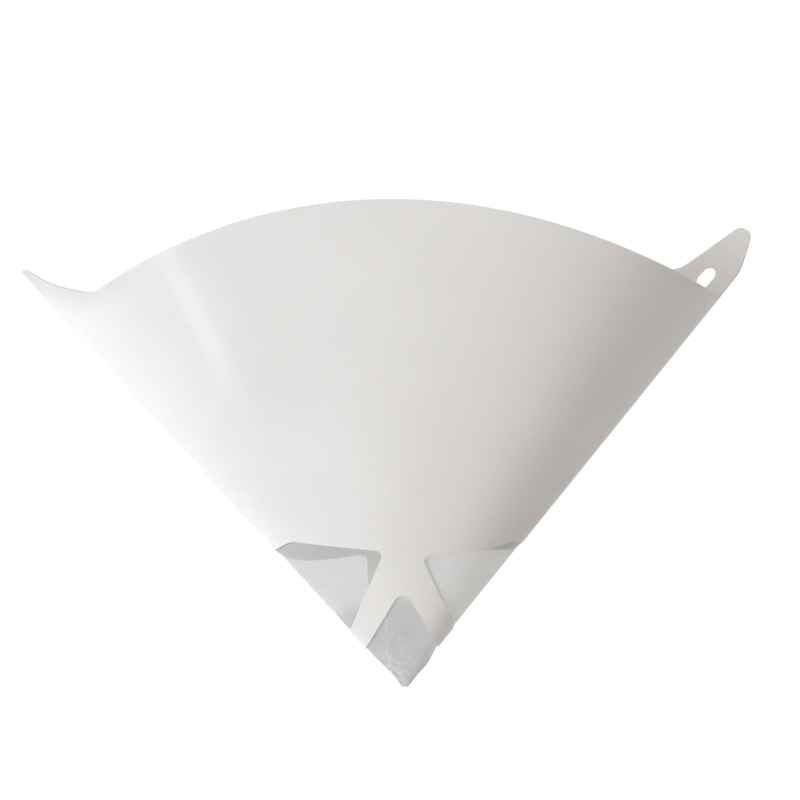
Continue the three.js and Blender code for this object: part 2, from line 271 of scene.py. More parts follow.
def make_back_window():
    return rounded_line(
        [
            at_crease(WINDOW_CREASE_LOW),
            (-BACK_LEG_HALF_WIDTH, BACK_LEG_BEND),
            (-BACK_LEG_HALF_WIDTH, BACK_WINDOW_TOP),
            (-BACK_SHOULDER_WIDTH, BACK_SHOULDER_HEIGHT),
            at_crease(WINDOW_CREASE_TOP),
        ],
        [0, 0, WINDOW_INNER_RADIUS, WINDOW_SHOULDER_RADIUS, 0],
    )


def make_lower_edge():
    """The lower edge of a panel. Its two straight sides would meet above the rounded top."""
    corner = at_crease(ARCH_CREASE_START)

    def excess(peak):
        half = math.atan2(-corner[0], peak - corner[1])
        return peak - ARCH_RADIUS / math.sin(half) + ARCH_RADIUS - ARCH_HEIGHT

    peak = find_root(excess, ARCH_HEIGHT - ARCH_RADIUS, ARCH_HEIGHT * 2)
    return rounded_line([corner, (0, peak), corner * [-1, 1]], [0, ARCH_RADIUS, 0])


def make_ear(reach, tip_inset, tip_width, tip_slope, base, foot_radius):
    """An ear, from the crease round to the rim."""
    return rounded_line(
        [
            beside_crease(0, 0),
            beside_crease(EAR_STRAIGHT, 0),
            beside_crease(reach, tip_inset),
            beside_crease(reach - tip_slope, tip_inset + tip_width),
            on_rim(base),
            on_rim(base + 2 * foot_radius),
        ],
        [0, EAR_SHOULDER_RADIUS, EAR_TIP_RADIUS, EAR_TIP_RADIUS, foot_radius, 0],
    )


def make_ear_hole():
    radius = HOLE_WIDTH / 2
    half_straight = (HOLE_LENGTH - HOLE_WIDTH) / 2
    points = []
    for i in range(HOLE_STEPS + 1):
        a = i / HOLE_STEPS * 2 * math.pi
        end = np.sign(round(math.cos(a), 9))
        along = math.cos(a) * radius + end * half_straight
        across = math.sin(a) * radius
        points.append(beside_crease(HOLE_RISE + along, HOLE_INSET + across))
    return np.array(points)


LOWER_EDGE = make_lower_edge()
FRONT_EAR = make_ear(reach=18, tip_inset=1.05, tip_width=7, tip_slope=1.4, base=17.4, foot_radius=5.4)
BACK_EAR = make_ear(reach=21.2, tip_inset=7.6, tip_width=4.5, tip_slope=0.4, base=18.9, foot_radius=8)

# A hole has its outline on the front or the back panel, and the turns between which it lies.
Hole = namedtuple("Hole", "outline back start end")


def make_hole(outline, back):
    angles = flat_angle(outline)
    return Hole(outline, back, to_turn(angles.min(), back), to_turn(angles.max(), back))


HOLES = [
    make_hole(make_front_window(LEFT_WINDOW_TOP), False),
    make_hole(mirrored(make_front_window(RIGHT_WINDOW_TOP)), False),
    make_hole(make_back_window(), True),
    make_hole(mirrored(make_back_window()), True),
    make_hole(make_ear_hole(), True),
]


def hole_span(hole, turn):
    inside = min(max(turn, hole.start), hole.end)
    found = crossings(hole.outline, inside - to_turn(0, hole.back))
    return min(found), max(found)


def upper_level(angle, back):
    ear = BACK_EAR if back else FRONT_EAR
    if angle > flat_angle(ear).max() - 1e-9:
        return SLANT
    return max([SLANT] + crossings(ear, angle))


# The rulings

def without_doubles(values):
    kept = []
    for value in sorted(values):
        if not kept or value - kept[-1] > SAME:
            kept.append(value)
    return kept


def thinned(points):
    """The outline's flat angles, without those that follow another within a corner step."""
    angles = np.sort(flat_angle(points))
    kept = [angles[0]]
    for angle in angles:
        if angle - kept[-1] > CORNER_STEP and angles[-1] - angle > CORNER_STEP:
            kept.append(angle)
    return kept + [angles[-1]]


def ruling_step(turn):
    """The steps are finer near the creases, where the sheet turns sharply."""
    if from_crease(turn) < CREASE_ZONE:
        return CREASE_STEP
    if from_crease(turn) < BESIDE_CREASE_ZONE:
        return BESIDE_CREASE_STEP
    return RULING_STEP


def make_turns():
    """The turns of all rulings: firm ones through corners, and even ones that keep off them."""
    firm = [0.0, PANEL]
    for hole in HOLES:
        firm += [to_turn(a, hole.back) for a in thinned(hole.outline)]
    for outline, back in ((LOWER_EDGE, False), (LOWER_EDGE, True), (FRONT_EAR, False), (BACK_EAR, True)):
        firm += [to_turn(a, back) for a in thinned(outline)]
    half = LAP_ANGLE / 2
    firm += [to_turn(a, True) for a in (-half - LAP_RAMP, -half, half, half + LAP_FADE)]
    firm = [turn for turn in without_doubles(firm) if turn < WHOLE_SHEET - SAME]
    even = []
    turn = 0.0
    while turn < WHOLE_SHEET:
        step = ruling_step(turn)
        room = step * RULING_ROOM
        if all(abs(other - turn) > room for other in firm) and WHOLE_SHEET - turn > room:
            even.append(turn)
        turn += step
    return np.array(sorted(firm + even))


TURNS = make_turns()
COUNT = len(TURNS)
DIRECTIONS = turn_direction(TURNS)
LEFT_CREASE = turn_direction(0.0)

# A mitre leads from a ruling to the same ruling of a surface that lies one millimetre further out.
next_directions = np.roll(DIRECTIONS, -1, axis=0)
strip_normals = unit(np.cross(next_directions, DIRECTIONS))
normals_before = np.roll(strip_normals, 1, axis=0)
agreement = np.sum(normals_before * strip_normals, axis=1)
MITRES = (normals_before + strip_normals) / (1 + agreement)[:, None]

# The frame's origin is level with the back ear's hole, this far above the tip.
hole_centre = beside_crease(HOLE_RISE, HOLE_INSET)
HANG = turn_direction(to_turn(flat_angle(hole_centre)[0], True))[2] * np.linalg.norm(hole_centre)

# How the real sheet departs from the ideal cone

# Each panel bows out most near its middle: a little near the tip, more above that and less again
# at the rim. Spans are angles from the panel's centre line or distances from the tip.
BOW_NEAR_TIP = 0.9
BOW_NEAR_TIP_SPAN = (6, 28)
BOW_ABOVE = 1.3
BOW_ABOVE_SPAN = (24, 60)
BOW_LOST_AT_RIM = 0.6
BOW_LOSS_SPAN = (70, 140)
BOW_RISE_SPAN = (-40, -6)
BOW_FALL_SPAN = (-6, 36)

# Long soft waves from handling, which fade out beside the creases and towards the tip
LONG_WAVE = 0.22
SHORT_WAVE = 0.12
WAVE_CREASE_SPAN = (0.5, 14)
WAVE_LEVEL_SPAN = (45, 95)

# A soft ridge that runs down from the rim on the left of the front panel. Its rise and its fall are
# spans across it, and it grows towards the rim.
RIDGE_TURN = 18.7
RIDGE_HEIGHT = 0.7
RIDGE_RISE_SPAN = (-7.5, 0.3)
RIDGE_FALL_SPAN = (0.3, 26)
RIDGE_LEVEL_SPAN = (76, 112)


def flat_place(turn, level):
    """The whole sheet laid flat: a half disc about the tip, with the right crease straight up."""
    a = math.radians(turn - PANEL)
    return level * math.sin(a), level * math.cos(a)


def bow(turn, level):
    """How far each panel, and the net on it, bows out beyond the ideal cone, in millimetres."""
    side = turn % PANEL - HALF_PANEL
    full = smooth(side, *BOW_RISE_SPAN) * fade(side, *BOW_FALL_SPAN)
    low = BOW_NEAR_TIP * smooth(level, *BOW_NEAR_TIP_SPAN) + BOW_ABOVE * smooth(level, *BOW_ABOVE_SPAN)
    return full * low * (1 - BOW_LOST_AT_RIM * smooth(level, *BOW_LOSS_SPAN))


def undulation(turn, level):
    """How far the paper stands off that, in millimetres. The lengths and phases inside the sines
    are free choices, made so that the waves do not repeat within the sheet."""
    x, y = flat_place(turn, level)
    hold = smooth(from_crease(turn), *WAVE_CREASE_SPAN) * smooth(level, *WAVE_LEVEL_SPAN)
    wave = LONG_WAVE * math.sin(x / 19 + 0.7 * math.sin(y / 31)) * math.sin(y / 37 + 1.3)
    wave += SHORT_WAVE * math.sin(x / 9.5 + 2.1) * math.sin(y / 23 + x / 41)
    across = level * math.radians(turn - RIDGE_TURN)
    ridge = smooth(across, *RIDGE_RISE_SPAN) * fade(across, *RIDGE_FALL_SPAN)
    ridge *= smooth(level, *RIDGE_LEVEL_SPAN)
    return hold * wave + RIDGE_HEIGHT * ridge


def rotate(point, axis, angle):
    c, s = math.cos(angle), math.sin(angle)
    return point * c + np.cross(axis, point) * s + axis * (axis @ point) * (1 - c)


def sheet_point(index, level, offset):
    """A point of the paper on a ruling, an offset out from its inner face, with the front ear bent."""
    turn = TURNS[index]
    point = DIRECTIONS[index] * level
    point = point + MITRES[index] * (offset + bow(turn, level) + undulation(turn, level))
    if turn < HALF_PANEL and level > SLANT - EAR_BEND_BELOW:
        share = smooth(level, SLANT - EAR_BEND_BELOW, SLANT + EAR_BEND_ABOVE)
        share *= fade(level * math.radians(turn), EAR_BEND_NEAR, EAR_BEND_FAR)
        point = rotate(point, LEFT_CREASE, -math.radians(EAR_SWING) * share)
    return point


# The paper's mesh

OUTER_FACE, INNER_FACE, CUT_EDGE = 0, 1, 2


def sheet_thickness(turn):
    """The paper's thickness, which is double across the glued overlap."""
    if turn < PANEL:
        return PAPER
    angle = turn - to_turn(0, True)
    rise = min(max(1 + (angle + LAP_ANGLE / 2) / LAP_RAMP, 0), 1)
    fall = min(max(1 - (angle - LAP_ANGLE / 2) / LAP_FADE, 0), 1)
    return PAPER * (1 + min(rise, fall))


def strip_cells(index):
    """The stretches of paper between a ruling and the next one. A stretch has its lower and its
    upper end, each with its level on the one ruling and on the other."""
    start = TURNS[index]
    end = TURNS[index + 1] if index + 1 < COUNT else WHOLE_SHEET
    middle = (start + end) / 2
    back = middle > PANEL
    base = to_turn(0, back)
    spans = []
    for hole in HOLES:
        if hole.start < middle < hole.end:
            spans.append((hole_span(hole, start), hole_span(hole, end)))
    spans.sort(key=lambda span: span[0][0] + span[1][0])
    lows = [(max(crossings(LOWER_EDGE, start - base)), max(crossings(LOWER_EDGE, end - base)))]
    highs = []
    for at_start, at_end in spans:
        highs.append((at_start[0], at_end[0]))
        lows.append((at_start[1], at_end[1]))
    highs.append((upper_level(start - base, back), upper_level(end - base, back)))
    return list(zip(lows, highs))


class SheetMesh:
    """The paper as one closed mesh: an outer face, an inner face and the cut edge between them."""

    def __init__(self):
        self.cells = [strip_cells(i) for i in range(COUNT)]
        self.levels = [self.ruling_levels(i) for i in range(COUNT)]
        self.points, self.flats, self.known = [], [], {}
        self.faces, self.kinds = [], []
        # for each ruling, the level steps with paper before it and those with paper after it
        self.paper = [(set(), set()) for _ in range(COUNT)]
        for i in range(COUNT):
            for low, high in self.cells[i]:
                self.fill(i, low, high)
        for i in range(COUNT):
            self.close_sides(i)

    def ruling_levels(self, i):
        own = []
        for low, high in self.cells[i - 1]:
            own += [low[1], high[1]]
        for low, high in self.cells[i]:
            own += [low[0], high[0]]
        own = sorted(own)
        kept = without_doubles(own)
        panel_levels = np.arange(0, SLANT - 1, LEVEL_STEP)
        ear_levels = np.arange(SLANT, SLANT + EAR_LEVEL_RANGE, EAR_LEVEL_STEP)
        for level in np.concatenate([panel_levels, ear_levels]):
            if own[0] < level < own[-1] and min(abs(level - k) for k in own) > LEVEL_MARGIN:
                kept.append(level)
        return np.array(sorted(kept))

    def step_of(self, i, level):
        return int(np.argmin(np.abs(self.levels[i] - level)))

    def vertex(self, i, step, outer):
        key = (i, step, outer)
        if key not in self.known:
            level = self.levels[i][step]
            self.known[key] = len(self.points)
            self.points.append(sheet_point(i, level, sheet_thickness(TURNS[i]) if outer else 0.0))
            self.flats.append((TURNS[i], level))
        return self.known[key]

    def add(self, corners, kind, flipped=False):
        """A face from its corners, each a ruling, a step and a side. Corners that fall together
        make it a triangle, or leave it out."""
        face = [self.vertex(*corner) for corner in corners]
        if flipped:
            face.reverse()
        face = [v for k, v in enumerate(face) if v != face[k - 1]]
        if len(face) > 2:
            self.faces.append(face)
            self.kinds.append(kind)

    def fill(self, i, low, high):
        """One stretch of paper: both faces, and the cut edge at its lower and upper end."""
        j = (i + 1) % COUNT
        a_start, b_start = self.step_of(i, low[0]), self.step_of(j, low[1])
        a_end, b_end = self.step_of(i, high[0]), self.step_of(j, high[1])
        self.paper[i][1].update(range(a_start, a_end))
        self.paper[j][0].update(range(b_start, b_end))
        a, b = a_start, b_start
        while a < a_end or b < b_end:
            next_a = self.levels[i][a + 1] if a < a_end else math.inf
            next_b = self.levels[j][b + 1] if b < b_end else math.inf
            level_steps = abs(next_a - next_b) < SAME
            last_steps = a + 1 == a_end and b + 1 == b_end and abs(next_a - next_b) < LAST_STEP_GAP
            both = a < a_end and b < b_end and (level_steps or last_steps)
            step_a = both or next_a <= next_b
            step_b = both or not step_a
            ring = [(i, a), (j, b)]
            if step_b:
                ring.append((j, b + 1))
            if step_a:
                ring.append((i, a + 1))
            self.add([(*corner, True) for corner in ring], OUTER_FACE)
            self.add([(*corner, False) for corner in ring], INNER_FACE, flipped=True)
            a += step_a
            b += step_b
        for a, b, outer in ((a_start, b_start, False), (a_end, b_end, True)):
            end = [(i, a, outer), (j, b, outer), (j, b, not outer), (i, a, not outer)]
            self.add(end, CUT_EDGE)

    def close_sides(self, i):
        """The cut edge along a ruling, wherever the paper lies on one side of it only."""
        for step in range(len(self.levels[i]) - 1):
            before, after = step in self.paper[i][0], step in self.paper[i][1]
            if before == after:
                continue
            wall = [(i, step, True), (i, step, False), (i, step + 1, False), (i, step + 1, True)]
            self.add(wall, CUT_EDGE, flipped=after)


# The flat sheet is laid on the UV map in its own proportions, with the tip at this place.
UV_SPAN = 340.0
UV_TIP = (0.5, 0.02)


def lay_flat(mesh, flats):
    """Write the flat sheet's places to the mesh's UV map."""
    uv = mesh.uv_layers.new(name="sheet")
    loops = np.zeros(len(mesh.loops), dtype=np.int32)
    mesh.loops.foreach_get("vertex_index", loops)
    starts = np.zeros(len(mesh.polygons), dtype=np.int32)
    sizes = np.zeros(len(mesh.polygons), dtype=np.int32)
    mesh.polygons.foreach_get("loop_start", starts)
    mesh.polygons.foreach_get("loop_total", sizes)
    turns, levels = np.array(flats).T
    places = np.empty((len(loops), 2))
    for start, size in zip(starts, sizes):
        corners = loops[start : start + size]
        own = turns[corners]
        # the last strip closes on the left crease, where the sheet's turn starts again
        if own.max() - own.min() > PANEL:
            own[own < PANEL] += WHOLE_SHEET
        a = np.radians(own - PANEL)
        places[start : start + size, 0] = levels[corners] * np.sin(a)
        places[start : start + size, 1] = levels[corners] * np.cos(a)
    uv.data.foreach_set("uv", (places / UV_SPAN + UV_TIP).ravel())


def make_object(name, points, faces, kinds, flats, materials, sharp_angle):
    """A mesh object in metres, with its origin level with the back ear's hole."""
    mesh = bpy.data.meshes.new(name)
    shifted = (np.asarray(points) - [0, 0, HANG]) / 1000
    mesh.from_pydata(shifted.tolist(), [], faces)
    for material in materials:
        mesh.materials.append(material)
    mesh.polygons.foreach_set("material_index", kinds)
    lay_flat(mesh, flats)
    mesh.update()
    mesh.validate()
    mesh.shade_smooth()
    mesh.set_sharp_from_angle(angle=math.radians(sharp_angle))
    made = bpy.data.objects.new(name, mesh)
    bpy.context.collection.objects.link(made)
    return made


# The net's mesh

NET_SLANT = 58.0
NET_GAP = 0.12
NET_LOWEST = 0.4
NET_LEVEL_START = 1.2
NET_LEVEL_STEP = 1.0
NET_RULING_STEP = 0.95
NET_CREASE_STEP = 0.25
NET_CREASE_ZONE = 4.0

# Below the paper's cut-outs the net is free between these levels: full, and gathered with folds.
NET_LOOSE_FROM = (1, 5)
NET_LOOSE_TO = (9, 16)
NET_FULLNESS = 0.12
NET_SWAY = 0.1
NET_FOLD = 0.13
NET_FOLD_CREASE_SPAN = (2, 10)

# Its tip leans to the right, less so at its very end, swells on the right and is blunt.
NET_LEAN = 0.85
NET_LEAN_SPAN = (5, 15.5)
NET_LEAN_BACK = 0.3
NET_LEAN_BACK_SPAN = (0, 5)
NET_SWELL = 0.7
NET_SWELL_FROM = (4, 9)
NET_SWELL_TO = (9.5, 15.5)
NET_BLUNTNESS = 0.6
NET_BLUNT_SPAN = (0, 6)
NET_TIP_LIFT = 0.15
NET_LIFT_SPAN = (0, 4)

RIGHT_REACH = DIRECTIONS[:, 0].max()


def net_point(index, level):
    """The net lies against the inside of the paper. Below the paper's cut-outs it is free: full on
    the right, drawn in a little on the left, and gathered with soft folds at its blunt tip."""
    turn = TURNS[index]
    d = DIRECTIONS[index]
    a = math.radians(turn)
    loose = smooth(level, *NET_LOOSE_FROM) * fade(level, *NET_LOOSE_TO)
    full = NET_FULLNESS + NET_SWAY * math.sin(2 * a + 0.7)
    full += NET_SWAY * math.sin(5 * a + 1.9 + level * 0.16)
    folds = NET_FOLD * math.sin(9 * a + 0.35 * level + 1.1 * math.sin(3 * a))
    folds *= smooth(from_crease(turn), *NET_FOLD_CREASE_SPAN)
    point = d * level + MITRES[index] * (loose * (full + folds) + bow(turn, level) - NET_GAP)
    side = d[0] / RIGHT_REACH
    lean = NET_LEAN * fade(level, *NET_LEAN_SPAN) - NET_LEAN_BACK * fade(level, *NET_LEAN_BACK_SPAN)
    swell = NET_SWELL * smooth(level, *NET_SWELL_FROM) * fade(level, *NET_SWELL_TO) * max(side, 0) ** 2
    blunt = NET_BLUNTNESS * fade(level, *NET_BLUNT_SPAN) * side
    return point + np.array([lean + swell + blunt, 0, NET_TIP_LIFT * fade(level, *NET_LIFT_SPAN)])


def build_net():
    kept = [0]
    for index in range(1, COUNT):
        turn = TURNS[index]
        step = NET_CREASE_STEP if from_crease(turn) < NET_CREASE_ZONE else NET_RULING_STEP
        if turn - TURNS[kept[-1]] >= step or turn == PANEL:
            kept.append(index)
    rising = np.arange(NET_LEVEL_START, NET_SLANT, NET_LEVEL_STEP)
    levels = np.concatenate([[NET_LOWEST], rising, [NET_SLANT]])
    points, flats, faces = [], [], []
    for index in kept:
        for level in levels:
            points.append(net_point(index, level))
            flats.append((TURNS[index], level))
    rows, n = len(kept), len(levels)
    for i in range(rows):
        j = (i + 1) % rows
        for k in range(n - 1):
            faces.append([i * n + k, j * n + k, j * n + k + 1, i * n + k + 1])
    return points, faces, flats


# Materials

class Nodes:
    """A short way to write the nodes of a material or a world."""

    def __init__(self, owner):
        owner.use_nodes = True
        self.tree = owner.node_tree

    def node(self, kind, **settings):
        made = self.tree.nodes.new("ShaderNode" + kind)
        for name, value in settings.items():
            setattr(made, name, value)
        return made

    def link(self, source, target):
        if isinstance(source, (int, float)):
            target.default_value = source
        else:
            self.tree.links.new(source, target)

    def math(self, operation, *values, clamp=False):
        made = self.node("Math", operation=operation, use_clamp=clamp)
        for value, target in zip(values, made.inputs):
            self.link(value, target)
        return made.outputs[0]

    def plus(self, a, b):
        return self.math("ADD", a, b)

    def times(self, a, b):
        return self.math("MULTIPLY", a, b)

    def larger(self, a, b):
        return self.math("MAXIMUM", a, b)

    def noise(self, place, scale, detail, roughness=0.5):
        made = self.node("TexNoise")
        self.link(place, made.inputs["Vector"])
        made.inputs["Scale"].default_value = scale
        made.inputs["Detail"].default_value = detail
        made.inputs["Roughness"].default_value = roughness
        return made.outputs["Fac"]

    def ramp(self, value, low, high, to_low=0.0, to_high=1.0):
        """A smooth step from one value to another while the input goes from low to high."""
        made = self.node("MapRange", interpolation_type="SMOOTHSTEP")
        self.link(value, made.inputs["Value"])
        made.inputs["From Min"].default_value = low
        made.inputs["From Max"].default_value = high
        made.inputs["To Min"].default_value = to_low
        made.inputs["To Max"].default_value = to_high
        return made.outputs["Result"]

    def fall(self, value, low, high):
        return self.ramp(value, low, high, to_low=1, to_high=0)

    def band(self, value, middle, near, far):
        """A band about a middle: 1 out to the near distance, and 0 from the far one on."""
        distance = self.math("ABSOLUTE", self.math("SUBTRACT", value, middle))
        return self.fall(distance, near, far)

    def mix(self, factor, a, b):
        """A mix of two colours, each a socket or a plain colour."""
        made = self.node("Mix", data_type="RGBA")
        self.link(factor, made.inputs[0])
        for value, target in ((a, made.inputs[6]), (b, made.inputs[7])):
            if isinstance(value, tuple):
                target.default_value = (*value, 1)
            else:
                self.tree.links.new(value, target)
        return made.outputs[2]

    def separate(self, place):
        parts = self.node("SeparateXYZ")
        self.link(place, parts.inputs[0])
        return parts.outputs[0], parts.outputs[1]

    def backdrop_rays(self):
        """1 for rays from the camera, also by way of gloss or glass, and 0 for those that light."""
        path = self.node("LightPath").outputs
        seen = self.larger(path["Is Camera Ray"], path["Is Glossy Ray"])
        return self.larger(seen, path["Is Transmission Ray"])


class MaterialNodes(Nodes):
    def __init__(self, name):
        self.material = bpy.data.materials.new(name)
        super().__init__(self.material)
        self.shader = self.tree.nodes["Principled BSDF"]
        self.output = self.tree.nodes["Material Output"]

    def shade(self, **sockets):
        """Link or set the shader's sockets, each named with underscores for its spaces."""
        for name, value in sockets.items():
            self.link(value, self.shader.inputs[name.replace("_", " ")])

    def sheet(self, stretch=(1, 1)):
        """The flat sheet's millimetres: x from the right crease's ruling, y up from the tip."""
        uv = self.node("UVMap", uv_map="sheet")
        mapping = self.node("Mapping")
        mapping.inputs["Location"].default_value = (-UV_TIP[0] * UV_SPAN, -UV_TIP[1] * UV_SPAN, 0)
        mapping.inputs["Scale"].default_value = (UV_SPAN, UV_SPAN, 1)
        self.link(uv.outputs[0], mapping.inputs["Vector"])
        if stretch == (1, 1):
            return mapping.outputs[0]
        second = self.node("Mapping")
        second.inputs["Scale"].default_value = (*stretch, 1)
        self.link(mapping.outputs[0], second.inputs["Vector"])
        return second.outputs[0]

    def bump(self, height, distance):
        made = self.node("Bump")
        made.inputs["Distance"].default_value = distance
        self.link(height, made.inputs["Height"])
        self.shade(Normal=made.outputs[0])


# Painted shade, greying the colour beside the right crease above the tip and on the front ear
PAINTED_SHADE_COLOUR = (0.5, 0.49, 0.48)
CREASE_SHADE_WIDTH = 15.0
CREASE_SHADE_LEVEL_SPAN = (30, 60)
EAR_SHADE_SPAN = (-157, -143)
EAR_SHADE_STRENGTH = 1.5

# A painted highlight: the paler line along each fold, which is also duller
FOLD_HIGHLIGHT_COLOUR = (0.9, 0.9, 0.89)
FOLD_NEAR = 0.1
FOLD_FAR = 0.7


def paper_material(name, light, dark, roughness, specular, fibre_relief, painted_shade_share):
    """Coated board: faint clouds and fibres in the colour, a fine toothy relief and a satin surface,
    with painted shade beside the right crease and on the front ear, and a painted highlight along each
    fold.
    """
    n = MaterialNodes(name)
    place = n.sheet()
    clouds = n.noise(place, scale=0.045, detail=2)
    fibres = n.noise(n.sheet((0.35, 1.0)), scale=1.1, detail=5, roughness=0.65)
    tooth = n.noise(place, scale=3.2, detail=4, roughness=0.6)
    across, up = n.separate(place)
    tone = n.plus(n.times(clouds, 0.55), n.times(fibres, 0.45))
    colour = n.mix(n.ramp(tone, 0.3, 0.7), dark, light)
    # painted shade: grey mixed into the colour beside the right crease and on the front ear
    painted_shade_mask = n.times(n.band(across, 0, 0, CREASE_SHADE_WIDTH), n.ramp(up, *CREASE_SHADE_LEVEL_SPAN))
    ear_shade_mask = n.ramp(across, *EAR_SHADE_SPAN, EAR_SHADE_STRENGTH, 0)
    painted_shade_mask = n.larger(painted_shade_mask, ear_shade_mask)
    colour = n.mix(n.times(painted_shade_mask, painted_shade_share), colour, PAINTED_SHADE_COLOUR)
    # the two folds: the right crease at x = 0 and the left one along y = 0
    fold = n.larger(n.band(across, 0, FOLD_NEAR, FOLD_FAR), n.band(up, 0, FOLD_NEAR, FOLD_FAR))
    # painted highlight: a paler colour along both folds
    colour = n.mix(n.times(fold, 0.15), colour, FOLD_HIGHLIGHT_COLOUR)
    gloss = n.plus(n.times(tooth, 0.1), roughness - 0.05)
    gloss = n.plus(gloss, n.times(fold, 0.12))
    n.shade(Base_Color=colour, Roughness=gloss, Specular_IOR_Level=specular)
    n.bump(n.plus(n.times(tooth, 0.35), n.times(fibres, fibre_relief)), distance=0.00004)
    return n.material


def edge_material():
    """The paper's cut edge: matt and fuzzy, with paler and darker fibres."""
    n = MaterialNodes("paper_cut_edge")
    fuzz = n.noise(n.node("TexCoord").outputs["Object"], scale=2600, detail=3, roughness=0.6)
    colour = n.mix(n.ramp(fuzz, 0.35, 0.65), (0.8, 0.79, 0.76), (0.9, 0.895, 0.88))
    n.shade(Base_Color=colour, Roughness=0.75)
    n.bump(fuzz, distance=0.00005)
    return n.material


# The net's weave, and its seam across the front panel, measured from the panel's middle
THREAD_PITCH = 0.42
SEAM_LINE = -4.7
SEAM_GLUE = -2.6
SEAM_START_SPAN = (-4.8, -4.6)
SEAM_END_SPAN = (-1.4, -0.8)

# Levels over which the dried glue and the gathered, greyer part of the net end
GLUE_LEVEL_SPAN = (6, 22)
GATHERED_LEVEL_SPAN = (24, 31)

# Painted light: from the middle of the front panel to the right the net gets paler. Its greying ends
# there.
NET_PAINTED_LIGHT_SPAN = (-2, 22)
GREYED_SPAN = (-2, 12)

NET_COLOURS = ((0.715, 0.72, 0.715), (0.755, 0.76, 0.755))
NET_PAINTED_LIGHT_COLOUR = (0.93, 0.93, 0.93)
GATHERED_COLOUR = (0.52, 0.51, 0.515)
GLUE_COLOUR = (0.88, 0.88, 0.85)
SEAM_LINE_COLOUR = (0.92, 0.92, 0.91)

# How much of the light the net stops: in its gaps, and more on its threads
GAP_COVER = 0.475
THREAD_COVER = 0.13


def net_material():
    """Fine monofilament net: half see-through, with its threads on the flat sheet's two directions,
    a double band where its ends overlap, and dried glue in the gathered tip."""
    n = MaterialNodes("net")
    place = n.sheet()
    threads = []
    for axis in n.separate(place):
        wave = n.math("SINE", n.times(axis, 2 * math.pi / THREAD_PITCH))
        threads.append(n.math("MULTIPLY_ADD", wave, 0.5, 0.5))
    weave = n.larger(*threads)
    # turned so that x runs across the middle of the front panel
    turned = n.node("VectorRotate", rotation_type="Z_AXIS")
    n.link(place, turned.inputs["Vector"])
    turned.inputs["Angle"].default_value = -math.radians(HALF_PANEL)
    front_x, front_y = n.separate(turned.outputs[0])
    on_front = n.ramp(front_y, 0, 1)
    inside = n.times(n.ramp(front_x, *SEAM_START_SPAN), n.fall(front_x, *SEAM_END_SPAN))
    lap = n.times(inside, on_front)
    line = n.times(n.band(front_x, SEAM_LINE, near=0.05, far=0.3), on_front)
    length = n.node("VectorMath", operation="LENGTH")
    n.link(place, length.inputs[0])
    from_tip = length.outputs["Value"]
    near_tip = n.times(n.fall(from_tip, *GLUE_LEVEL_SPAN), n.band(front_x, SEAM_GLUE, near=1.2, far=4.6))
    smear = n.noise(n.sheet((1.0, 0.55)), scale=0.75, detail=5, roughness=0.6)
    glue = n.times(n.ramp(smear, 0.44, 0.66), near_tip)
    gathered = n.times(n.fall(from_tip, *GATHERED_LEVEL_SPAN), on_front)
    greyed = n.times(gathered, n.ramp(front_x, *GREYED_SPAN, 1, 0.1))
    mottle = n.noise(place, scale=0.09, detail=3)
    colour = n.mix(n.ramp(mottle, 0.3, 0.7), *NET_COLOURS)
    # painted light: the net's colour paled towards the right of the front panel
    colour = n.mix(n.ramp(front_x, *NET_PAINTED_LIGHT_SPAN, 0, 0.5), colour, NET_PAINTED_LIGHT_COLOUR)
    colour = n.mix(greyed, colour, GATHERED_COLOUR)
    colour = n.mix(n.times(glue, 0.5), colour, GLUE_COLOUR)
    colour = n.mix(n.times(line, 0.2), colour, SEAM_LINE_COLOUR)
    cover = n.math("MULTIPLY_ADD", weave, THREAD_COVER, GAP_COVER)
    for layer, share in ((lap, 0.06), (gathered, 0.06), (line, 0.08)):
        cover = n.plus(cover, n.times(layer, share))
    cover = n.math("ADD", cover, n.times(glue, 0.2), clamp=True)
    gloss = n.ramp(glue, 0, 1, 0.5, 0.25)
    n.shade(Base_Color=colour, Roughness=gloss, Specular_IOR_Level=0.45, Alpha=cover)
    n.bump(n.plus(weave, n.times(glue, 0.4)), distance=0.00003)
    return n.material


# The two pieces

outer_paper = paper_material(
    "paper_outer",
    light=(0.81, 0.8, 0.785),
    dark=(0.775, 0.765, 0.75),
    roughness=0.4,
    specular=0.5,
    fibre_relief=0.35,
    painted_shade_share=0.42,
)
# The inner face is paler than the outer: painted light, for the light that the thin paper lets into the
# cone
inner_paper = paper_material(
    "paper_inner",
    light=(0.84, 0.83, 0.81),
    dark=(0.8, 0.79, 0.77),
    roughness=0.6,
    specular=0.35,
    fibre_relief=0.7,
    painted_shade_share=0.0,
)

sheet = SheetMesh()
sheet_object = make_object(
    "folded_paper",
    sheet.points,
    sheet.faces,
    sheet.kinds,
    sheet.flats,
    materials=[outer_paper, inner_paper, edge_material()],
    sharp_angle=40,
)
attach(sheet_object, "root")
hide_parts("paper_cone")

net_points, net_faces, net_flats = build_net()
net_object = make_object(
    "nylon_net",
    net_points,
    net_faces,
    [0] * len(net_faces),
    net_flats,
    materials=[net_material()],
    sharp_angle=60,
)
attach(net_object, "root")
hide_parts("filter_mesh")

# Camera, lights and floor

# The camera's place in metres and its aim in degrees, as the photograph was taken
CAMERA_PLACE = (-0.0054508, -0.6994315, -0.0038635)
CAMERA_HEADING = -0.5672
CAMERA_TILT = -2.269
CAMERA_ROLL = -1.6919
LENS = 112.895
SENSOR_WIDTH = 36.0

